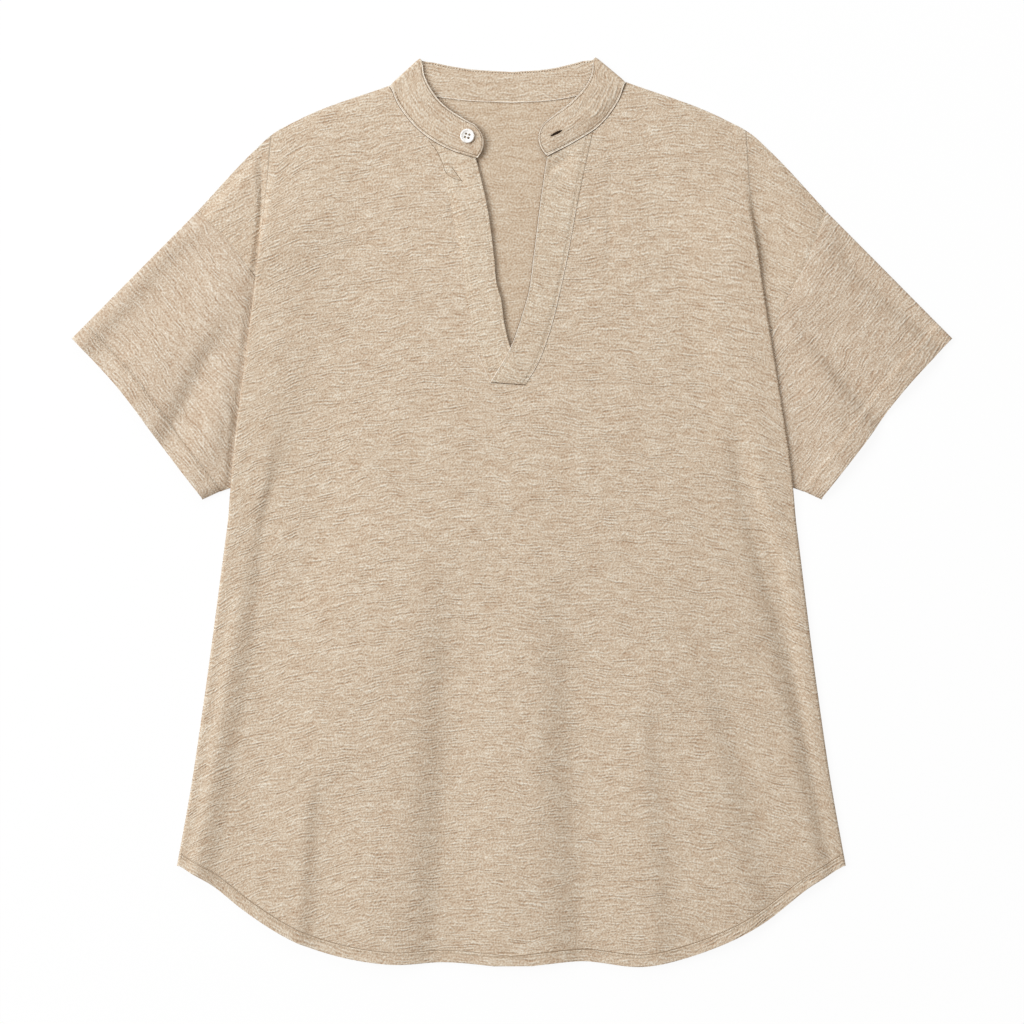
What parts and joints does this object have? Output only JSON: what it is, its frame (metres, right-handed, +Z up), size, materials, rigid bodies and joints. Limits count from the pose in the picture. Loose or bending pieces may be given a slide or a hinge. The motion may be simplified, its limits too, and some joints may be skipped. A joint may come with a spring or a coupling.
{
  "type": "v-neck top, laid flat",
  "caption": "Short-sleeved V-neck top in slub jersey with a buttoned band collar, front plackets and a curved hem, laid flat.",
  "frame": {"origin": "on the surface that the top lies on, under the middle of its outline", "axes": "+Z up from the surface, out of the front; +Y towards the collar; +X towards the wearer's left"},
  "size_m": [0.7042, 0.7272, 0.009],
  "materials": {
    "jersey": "heathered slub jersey, matt",
    "jersey_inside": "inside of the jersey, smoother, matt",
    "jersey_trim": "two plies of the jersey, edge-stitched, matt",
    "button": "satin resin"
  },
  "bodies": {
    "root": {"front_panel": "jersey", "back_panel": "jersey_inside", "sleeve_right": "jersey", "sleeve_left": "jersey", "collar_band": "jersey_trim", "placket_right": "jersey_trim", "placket_left": "jersey_trim", "button": "button"}
  },
  "joints": []
}
